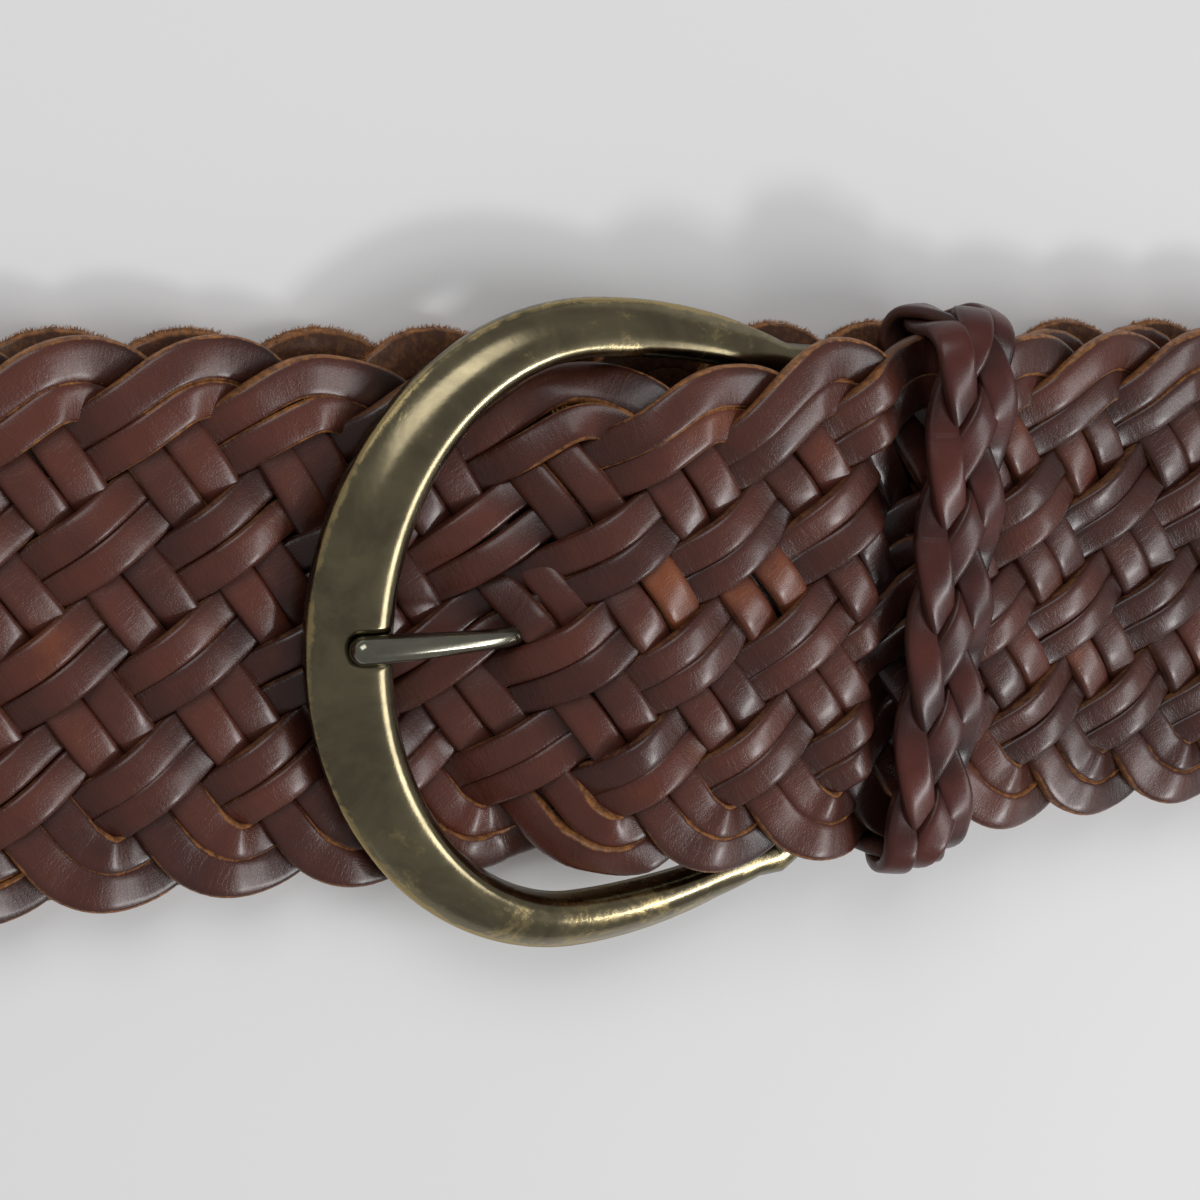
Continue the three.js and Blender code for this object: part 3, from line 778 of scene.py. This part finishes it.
def fuzzTree():  # stands a small fibre on every point, turned roughly to the point's own direction
    tree, make, join, finish, given = treeWith(
        "rim fibres", ("Length", "Float"), ("Thickness", "Float"), ("Material", "Material"))
    fibre = make("GeometryNodeMeshCone", fill_type="NONE", Vertices=3, **{"Side Segments": 2})
    tip = make("ShaderNodeMath", operation="MULTIPLY")
    tip.inputs[1].default_value = fuzz["tipShare"]
    turn = make("FunctionNodeAlignRotationToVector", axis="Z")
    direction = make("GeometryNodeInputNamedAttribute", data_type="FLOAT_VECTOR", Name="out")
    jitter = make("FunctionNodeRandomValue", data_type="FLOAT_VECTOR", Seed=fuzz["seed"])
    jitter.inputs["Min"].default_value = fuzz["leanLeast"]
    jitter.inputs["Max"].default_value = fuzz["leanMost"]
    lean = make("ShaderNodeVectorMath", operation="ADD")
    size = make("FunctionNodeRandomValue", data_type="FLOAT", Seed=fuzz["seed"] + 1)
    size.inputs[2].default_value, size.inputs[3].default_value = fuzz["sizeRange"]
    stand = make("GeometryNodeInstanceOnPoints")
    join(given, "Thickness", tip, 0)
    join(tip, 0, fibre, "Radius Top")
    join(given, "Thickness", fibre, "Radius Bottom")
    join(given, "Length", fibre, "Depth")
    join(direction, "Attribute", lean, 0)
    join(jitter, "Value", lean, 1)
    join(lean, 0, turn, "Vector")
    join(given, "Geometry", stand, "Points")
    join(fibre, "Mesh", stand, "Instance")
    join(turn, "Rotation", stand, "Rotation")
    join(size, 1, stand, "Scale")
    finish(stand, "Instances")
    return tree


def rimFuzz(lines, material):  # on the outer walls of the rear turns, and thinly on the front ones
    rng = np.random.default_rng(fuzz["seed"])
    places, outs = [], []
    for line in lines:
        points, v = line["points"], line["v"]
        rear = line["outer"] & (line["bare"] > 0.3) & (points[:, 2] < floorMid + 3)
        front = ~line["outer"] & (line["bare"] > 0.75) & (points[:, 2] > frontMid - 1)
        rim = (rear | front) & (v > 0) & (points[:, 0] > fuzz["from"]) & (points[:, 0] < fuzz["to"])
        forward = np.gradient(points, axis=0)
        forward /= np.linalg.norm(forward, axis=1, keepdims=True)
        out = np.cross(forward, line["normals"])
        out *= np.sign(out[:, 1] * (points[:, 1] - strap["centreY"]))[:, None]
        edge = points + out * (strap["laceWidth"] / 2 * line["scale"])[:, None]
        for i in np.flatnonzero(rim[:-1] & rim[1:]):
            gap = np.linalg.norm(edge[i + 1] - edge[i]) * (1 if rear[i] else 0.3)
            for t in rng.random(int(gap * fuzz["perMm"]) + 1):
                level = rng.uniform(-0.75, 0.75)
                away = line["normals"][i] * level * strap["laceThickness"] / 2
                places.append(mix(edge[i], edge[i + 1], t) + away)
                outs.append(out[i])
    mesh = bpy.data.meshes.new("rim points")
    mesh.from_pydata((np.array(places) * mm).tolist(), [], [])
    paint(mesh, "out", outs)
    sizes = {"Length": fuzz["length"] * mm, "Thickness": fuzz["thickness"] * mm, "Material": material}
    return grownPiece("rim_fibres", mesh, fuzzTree(), sizes)


def fibreMaterial():
    material, tree, shader = blankMaterial("loose leather fibres")
    make, link = nodeMaker(tree), tree.links.new
    place = make("ShaderNodeTexCoord")
    speck = make("ShaderNodeTexNoise", Scale=500.0, Detail=3.0)
    link(place.outputs["Object"], speck.inputs["Vector"])
    colour = make("ShaderNodeMix", data_type="RGBA")
    colour.inputs["A"].default_value = (0.16, 0.055, 0.016, 1)
    colour.inputs["B"].default_value = (0.50, 0.22, 0.06, 1)
    link(speck.outputs["Fac"], colour.inputs[0])
    link(colour.outputs["Result"], shader.inputs["Base Color"])
    shader.inputs["Roughness"].default_value = 0.9
    return material


fibres = rimFuzz(rearLines + frontLines, fibreMaterial())
finishPiece(fibres, "strap_leather")
print("rim fibres set")


def eyeLines():  # laces that fold round the bar side by side, with a slot for the prong
    radius = buckle["barRadius"] + eye["gap"] + eye["thickness"] / 2
    low, high = buckle["barZ"] - radius, buckle["barZ"] + radius
    endLow = strap["buckleEndMid"] - strap["thickness"] / 2 + eye["thickness"] / 2
    endHigh = strap["buckleEndMid"] + strap["thickness"] / 2 - eye["thickness"] / 2
    x = np.linspace(eye["end"], buckle["barX"], 16, endpoint=False)
    lower = np.stack([x, mix(low, endLow, ease(buckle["barX"] + 0.6, 43.4, x))], 1)
    a = -np.pi / 2 - np.pi * np.linspace(0, 1, 16)
    fold = np.stack([buckle["barX"] + radius * np.cos(a), buckle["barZ"] + radius * np.sin(a)], 1)
    x = x[::-1]
    upper = np.stack([x, mix(high, endHigh, ease(buckle["barX"], eye["end"] - 2, x))], 1)
    side = np.concatenate([lower, fold, upper])
    slope = np.gradient(side, axis=0)
    slope /= np.linalg.norm(slope, axis=1, keepdims=True)
    lines = []
    pitch = eye["width"] / eye["laces"]
    for i in range(eye["laces"]):
        y0 = (i + 0.5 - eye["laces"] / 2) * pitch
        y0 += math.copysign(eye["slot"] / 2 - 1.6, y0) * max(0, 1 - abs(y0) / (eye["width"] / 2))
        widen = ease(42, 56, side[:, 0])
        y = mix(eye["centreY"] + y0, strap["centreY"] + y0 * 1.3, widen)
        points = np.stack([side[:, 0], y, side[:, 1]], 1)
        normals = np.stack([slope[:, 1], np.zeros(len(side)), -slope[:, 0]], 1)
        flat = np.zeros(len(side))
        lines.append({"points": points, "normals": normals, "along": alongLine(points) + 40 * i,
                      "tone": flat + (0.35 + 0.1 * math.sin(5.0 * i)), "rise": flat + 0.5, "bare": flat,
                      "shade": flat, "scale": flat + 1})
    return lines


eyeLaces = sweptLaces("strap_eye_laces", eyeLines(), fineSection, strapLeather, sweepTree)
finishPiece(eyeLaces, "strap_leather", "strap")
print("eye folded round the bar")

# keeper: four laces in a flat braid round both layers
keeper = {
    "x": 51.0,
    "slant": 1.2,
    "halfWidth": 37.4,
    "centreY": 3.0,
    "lowZ": 5.85,
    "topZ": 19.6,
    "topSlope": -0.15,
    "corner": 3.7,
    "pitch": 12.2,
    "reach": 4.6,  # from the middle to a lace's middle at the edge
    "laceWidth": 4.9,
    "laceThickness": 1.8,
    "swing": 1.1,
    "bulge": 0.9,
    "tilt": 13.0,
    "seed": 21,
}


def keeperTrack():  # oblong in the YZ plane: points, outward normals and distance
    half, low = keeper["halfWidth"], keeper["lowZ"]
    r, tall = keeper["corner"], keeper["topZ"] - keeper["lowZ"]
    corners = [(half - r, low + r, -90), (half - r, low + tall - r, 0),
               (-half + r, low + tall - r, 90), (-half + r, low + r, 180)]
    points, normals = [], []
    for cy, cz, start in corners:
        for i in range(9):
            a = math.radians(start + 90 * i / 8)
            points.append((cy + r * math.cos(a), cz + r * math.sin(a)))
            normals.append((math.cos(a), math.sin(a)))
    points.append(points[0])
    normals.append(normals[0])
    return np.array(points), np.array(normals), alongLine(np.array(points))


# half crossings from the left edge to the right and back: height in mm and sideways lean
keeperWave = {
    "height": (0.1, 1.0, 0.9, 0.0, -0.75, -0.6, 0.8, 1.4, 0.2, -1.2, -0.8, 0.8, 1.0, 0.2, -0.75, -0.8),
    "lean": (-1.1, -1.0, 0.0, 1.0, 0.0, -1.0, 0.0, 1.0, 1.1, 0.0, 0.5, 1.0, 0.0, -1.0, -0.3, 0.0),
}


def keeperLines():
    track, outward, distance = keeperTrack()
    total = distance[-1]
    turns = int(round(total / keeper["pitch"] / 4)) * 4
    pitch = total / turns
    step = np.arange(0, 2 * turns, 0.1)
    lines = []
    for strand in range(4):
        way = np.pi * step / 4
        side = -np.cos(way)  # -1 at the left edge, 1 at the right
        over, lean = (np.interp(step * 2, np.arange(16), keeperWave[key], period=16)
                      for key in ("height", "lean"))
        over, lean = (np.convolve(np.concatenate([wave[-4:], wave, wave[:4]]), np.ones(5) / 5, "same")[4:-4]
                      for wave in (over, lean))
        seed = keeper["seed"] + 5 * strand
        t = np.mod(strand * pitch + step * pitch / 2, total)
        y, z = (np.interp(t, distance, track[:, k]) for k in (0, 1))
        ny, nz = (np.interp(t, distance, outward[:, k]) for k in (0, 1))
        size = np.hypot(ny, nz)
        ny, nz = ny / size, nz / size
        under = np.clip((keeper["lowZ"] + 3 - z) / 3, 0, 1) * (np.abs(y) < keeper["halfWidth"] - 4)
        lift = (keeper["swing"] * over + keeper["bulge"] * (1 - 0.5 * side ** 2)) * (1 - 0.75 * under)
        share = (z - keeper["lowZ"]) / (keeper["topZ"] - keeper["lowZ"])
        aside = keeper["reach"] * side + wander(step, seed + 1, 0.12)
        x = keeper["x"] + keeper["slant"] * y / keeper["halfWidth"] + aside
        z = z + nz * lift + share * keeper["topSlope"] * aside
        points = np.stack([x, keeper["centreY"] + y + ny * lift, z], 1)
        lean = np.radians(keeper["tilt"] * lean * (1 - under) + wander(step, seed + 2, 4.0))
        normals = np.stack([np.sin(lean), ny * np.cos(lean), nz * np.cos(lean)], 1)
        lines.append({"points": points, "normals": normals, "along": alongLine(points), "closed": True,
                      "tone": 0.4 + wander(step, seed + 3, 0.22), "rise": over, "bare": 0 * over,
                      "shade": 0 * over, "scale": 1 - 0.35 * under})
    return lines


keeperSection = sectionObject("keeper lace section", keeper, fineHalf)
keeperLaces = sweptLaces("keeper_laces", keeperLines(), keeperSection, keeperLeather, sweepTree)
finishPiece(keeperLaces, "keeper_leather", "keeper")
print("keeper braided")


def brassGroup():  # film over brass, rubbed bright where the wear is high
    tree, given, result = groupWith("old brass", {
        "Metal": (0.55, 0.44, 0.22), "Film": (0.10, 0.09, 0.05), "Wear": 0.5, "Dull": 1.0})
    make, link, maths, ramp, blend, dimmed, noise, painted = nodeKit(tree)
    place = make("ShaderNodeTexCoord").outputs["Object"]
    cloud = noise(95.0, 7.0, 0.68, place, 0.7)
    speck = noise(700.0, 5.0, 0.75, place)
    stain = noise(75.0, 6.0, 0.66, place, 1.0)
    # film worn through in patches, with fine specks inside them
    level = maths("ADD", maths("MULTIPLY_ADD", speck, 0.45, cloud), painted("rub"))
    mask = ramp(maths("ADD", level, given["Wear"]), 0.99, 1.13)
    film = dimmed(given["Film"], ramp(stain, 0.4, 0.6, 0.7, 1.0))
    rough = maths("MULTIPLY_ADD", mask, 0.06, ramp(cloud, 0.3, 0.7, 0.16, 0.27))
    link(blend(mask, film, given["Metal"]), result["Color"])
    link(maths("MULTIPLY", rough, given["Dull"]), result["Roughness"])
    link(maths("MULTIPLY_ADD", mask, 0.3, speck), result["Height"])
    return tree


brass = brassGroup()


def brassMaterial(name, values, bump):
    material, shader = newMaterial(name, brass, values, bump, 0.0002)
    shader.inputs["Metallic"].default_value = 1.0
    return material


frameBrass = brassMaterial("old brass frame", {"Metal": (0.40, 0.31, 0.15), "Film": (0.22, 0.188, 0.115),
                                               "Wear": 0.11, "Dull": 1.0}, 0.12)
prongBrass = brassMaterial("old brass prong", {"Metal": (0.46, 0.44, 0.35), "Film": (0.27, 0.26, 0.205),
                                               "Wear": 0.1, "Dull": 0.85}, 0.06)


def loftPiece(name, rings, closed, material, rub=None):
    n = len(rings[0])
    vertices = [tuple(c * mm for c in p) for ring in rings for p in ring]
    faces = []
    count = len(rings) if closed else len(rings) - 1
    for i in range(count):
        a, b = i * n, ((i + 1) % len(rings)) * n
        for j in range(n):
            k = (j + 1) % n
            faces.append((a + j, b + j, b + k, a + k))
    if not closed:
        faces.append(tuple(range(n)))
        faces.append(tuple(range((len(rings) - 1) * n + n - 1, (len(rings) - 1) * n - 1, -1)))
    mesh = bpy.data.meshes.new(name)
    mesh.from_pydata(vertices, [], faces)
    mesh.materials.append(material)
    if rub is not None:
        paint(mesh, "rub", rub)
    mesh.polygons.foreach_set("use_smooth", [True] * len(mesh.polygons))
    mesh.update()
    volume = sum(p.center.dot(p.normal) * p.area for p in mesh.polygons)
    if volume < 0:
        mesh.flip_normals()
    return addObject(name, mesh)


def frameHeightAt(x):
    return mix(leftSideMid, buckle["barZ"], ease(-6, buckle["barX"] - 1, x))


def railStation(angle):
    c, s = math.cos(angle), math.sin(angle)
    right = c > 0
    outer = np.array([c * buckle["rightAxis" if right else "left"], s * buckle["halfHeight"]])
    inner = np.array([c * buckle["innerRightAxis" if right else "innerLeft"], s * buckle["innerHalfHeight"]])
    x = (outer[0] + inner[0]) / 2
    tall = mix(buckle["height"], buckle["railHeight"], ease(-30, 0, x))
    tall = mix(tall, 2 * buckle["barRadius"], ease(8, 34, x))
    return {"outer": outer, "inner": inner, "z": frameHeightAt(x), "tall": tall, "round": ease(20, 33, x)}


def cornerStation(t, side, end):
    mid = (end["outer"] + end["inner"]) / 2
    way = mid - (end["before"]["outer"] + end["before"]["inner"]) / 2
    c = np.array([mid, mid + 4.5 * way / np.linalg.norm(way), (buckle["barX"], buckle["barHalfLength"] + 5.5),
                  (buckle["barX"], buckle["barHalfLength"])])
    k = np.array([(1 - t) ** 3, 3 * t * (1 - t) ** 2, 3 * t * t * (1 - t), t ** 3])
    d = np.array([-3 * (1 - t) ** 2, 3 * (1 - t) ** 2 - 6 * t * (1 - t), 6 * t * (1 - t) - 3 * t * t,
                  3 * t * t])
    p, tangent = k @ c, d @ c
    tangent /= np.linalg.norm(tangent)
    normal = np.array([-tangent[1], tangent[0]])
    wide = mix(np.linalg.norm(end["outer"] - end["inner"]), 2 * buckle["barRadius"], min(1, t * 1.6)) / 2
    turn = np.array([1, side])
    return {"outer": (p + normal * wide) * turn, "inner": (p - normal * wide) * turn,
            "z": frameHeightAt(p[0]), "tall": mix(end["tall"], 2 * buckle["barRadius"], t),
            "round": mix(end["round"], 1, t)}


def frameStations():
    endAngle = math.acos(buckle["railEnd"] / ((buckle["rightAxis"] + buckle["innerRightAxis"]) / 2))
    stations = [railStation(mix(endAngle, 2 * math.pi - endAngle, i / 220)) for i in range(221)]
    end = railStation(endAngle)
    end["before"] = railStation(endAngle + 0.03)
    stations += [cornerStation(i / 16, -1, end) for i in range(1, 17)]
    for i in range(1, 16):
        y = mix(-buckle["barHalfLength"], buckle["barHalfLength"], i / 16)
        stations.append({"outer": np.array([buckle["barX"] + buckle["barRadius"], y]),
                         "inner": np.array([buckle["barX"] - buckle["barRadius"], y]),
                         "z": buckle["barZ"], "tall": 2 * buckle["barRadius"], "round": 1})
    stations += [cornerStation(i / 16, 1, end) for i in range(16, 0, -1)]
    return stations


def buildFrame():
    # domed section from the inner edge outwards, with a small ledge along the outer edge
    dome = [(0.05, -0.5), (0.0, -0.42), (0.0, -0.2), (0.0, 0.04), (0.015, 0.19), (0.045, 0.31), (0.1, 0.41),
            (0.17, 0.47), (0.26, 0.5), (0.37, 0.49), (0.49, 0.455), (0.6, 0.39), (0.71, 0.3), (0.81, 0.18),
            (0.9, 0.05), (0.95, -0.045), (0.985, -0.08), (1.0, -0.14), (1.0, -0.3), (0.99, -0.42),
            (0.93, -0.5), (0.5, -0.5)]
    rings, rub = [], []
    for station in frameStations():
        ring = []
        for j, (q, g) in enumerate(dome):
            a = -math.pi * 0.59 - 2 * math.pi * j / len(dome)
            across = mix(q, 0.5 + 0.5 * math.cos(a), station["round"])
            up = mix(g, 0.5 * math.sin(a), station["round"])
            x, y = mix(station["inner"], station["outer"], across)
            z = station["z"] + up * station["tall"]
            # the prong's notch is pressed into the crest and ends round past its tip
            roomy = prong["radius"] + buckle["notchClearance"]
            away = math.hypot(y - prong["y"], max(0, prong["tipX"] + prong["radius"] - x)) / roomy
            if x < -20 and away < 1:
                z = min(z, float(prongHeight(x)) - roomy * math.sqrt(1 - away * away))
            ring.append((x, y, z))
            # rubbed along the outer ledge and the inner lip, and all over low on the buckle
            ledge = 0.35 * math.exp(-((q - 0.97) / 0.03) ** 2) + 0.1 * math.exp(-((q - 0.03) / 0.05) ** 2)
            low, high = float(ease(-12, -38, y)), float(ease(0, 30, y))
            rub.append((1 - station["round"]) * ledge + 0.17 * low + 0.05 * high)
        rings.append(ring)
    return loftPiece("buckle_frame_cast", rings, True, frameBrass, rub)


def buildProng():
    r, sides = prong["radius"], 32
    run = [(x, float(mix(prong["thin"], r, ease(*prong["thinning"], x))))
           for x in np.linspace(buckle["barX"] - 2.4, prong["tipX"] + r, 90, endpoint=False)]
    cap = [(prong["tipX"] + r * (1 - math.sin(a)), r * math.cos(a)) for a in np.linspace(0, 1.45, 10)]
    rings = []
    for x, radius in run + cap:
        z = float(prongHeight(x))
        angles = [2 * math.pi * j / sides for j in range(sides)]
        rings.append([(x, prong["y"] + radius * math.cos(a), z + radius * math.sin(a)) for a in angles])
    return loftPiece("prong_rod", rings, False, prongBrass)


def buildProngRing():
    rings = []
    w = prong["ringWidth"] / 2
    a, b = prong["ringInner"], prong["ringOuter"]
    section = [(a, -w + 0.3), (a + 0.3, -w), (b - 0.5, -w), (b - 0.1, -w + 0.3), (b, -w + 0.8),
               (b, w - 0.8), (b - 0.1, w - 0.3), (b - 0.5, w), (a + 0.3, w), (a, w - 0.3)]
    for i in range(64):
        c, s = math.cos(2 * math.pi * i / 64), math.sin(2 * math.pi * i / 64)
        rings.append([(buckle["barX"] + r * c, prong["y"] + y, buckle["barZ"] + r * s) for r, y in section])
    return loftPiece("prong_ring", rings, True, prongBrass)


frameCast = buildFrame()
finishPiece(frameCast, "frame_brass", "buckle_frame")
prongRod = buildProng()
finishPiece(prongRod, "prong_brass", "prong")
prongRing = buildProngRing()
finishPiece(prongRing, "prong_brass", "prong")
print("buckle cast")

for helper in (fineSection, coarseSection, keeperSection):
    bpy.data.objects.remove(helper)
